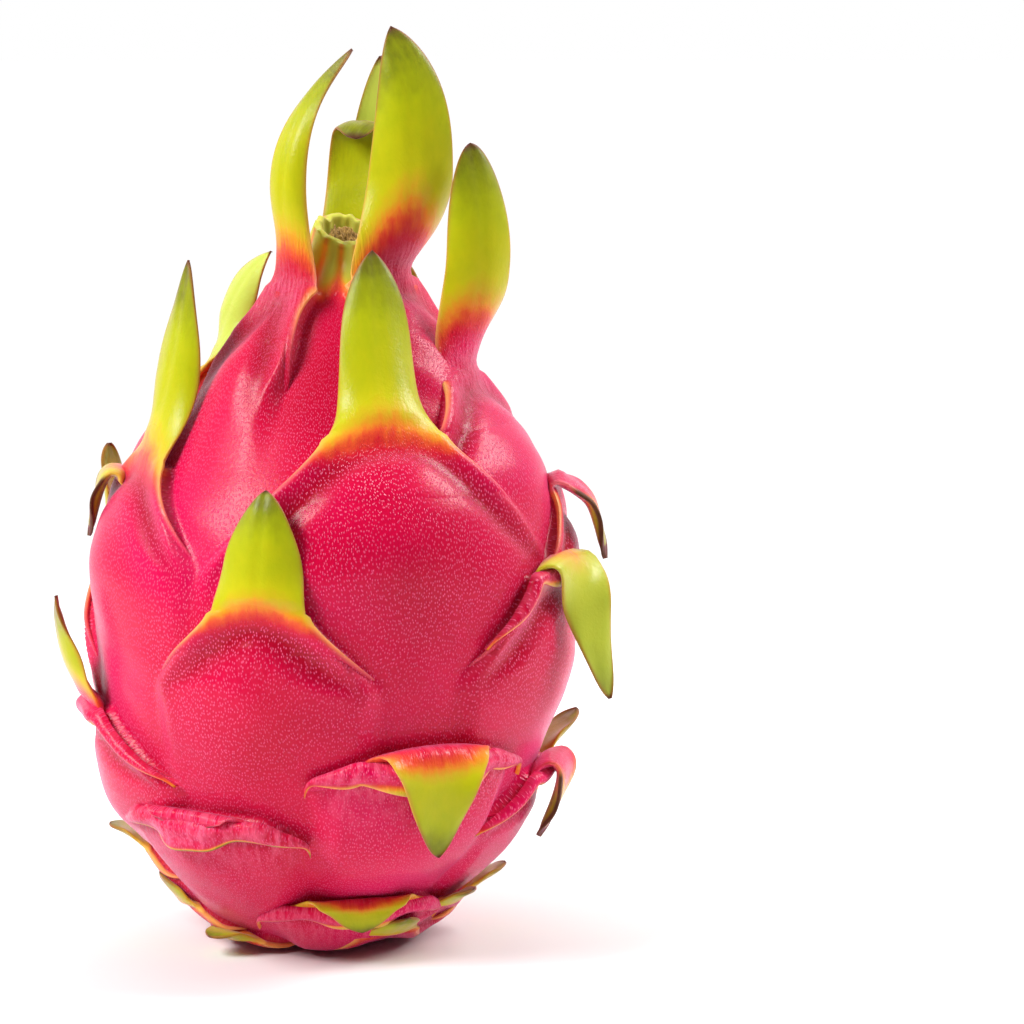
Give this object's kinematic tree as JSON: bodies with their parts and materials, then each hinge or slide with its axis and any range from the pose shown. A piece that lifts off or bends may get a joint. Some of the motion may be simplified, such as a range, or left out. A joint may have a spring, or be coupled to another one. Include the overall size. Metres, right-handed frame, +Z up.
{
  "type": "dragon fruit",
  "caption": "Whole red dragon fruit with curling green-tipped scales, standing upright on its stem end, for tables, bowls and still lifes.",
  "frame": {"origin": "on the ground, under the middle of the fruit's overall width and depth", "axes": "+Z up from the stem end to the crown of scales, -Y the front with the large upright scale, +X the front's right"},
  "size_m": [0.103, 0.1042, 0.1702],
  "materials": {
    "skin": "smooth satin fruit skin, crimson with pale specks, turning orange, yellow and green up each scale",
    "stem": "dry green-brown cut stem",
    "dried_flower": "dry crumbly brown flower remains"
  },
  "bodies": {
    "root": {"fruit": "skin", "stem_stub": "stem", "flower_remnant": "dried_flower"}
  },
  "joints": []
}
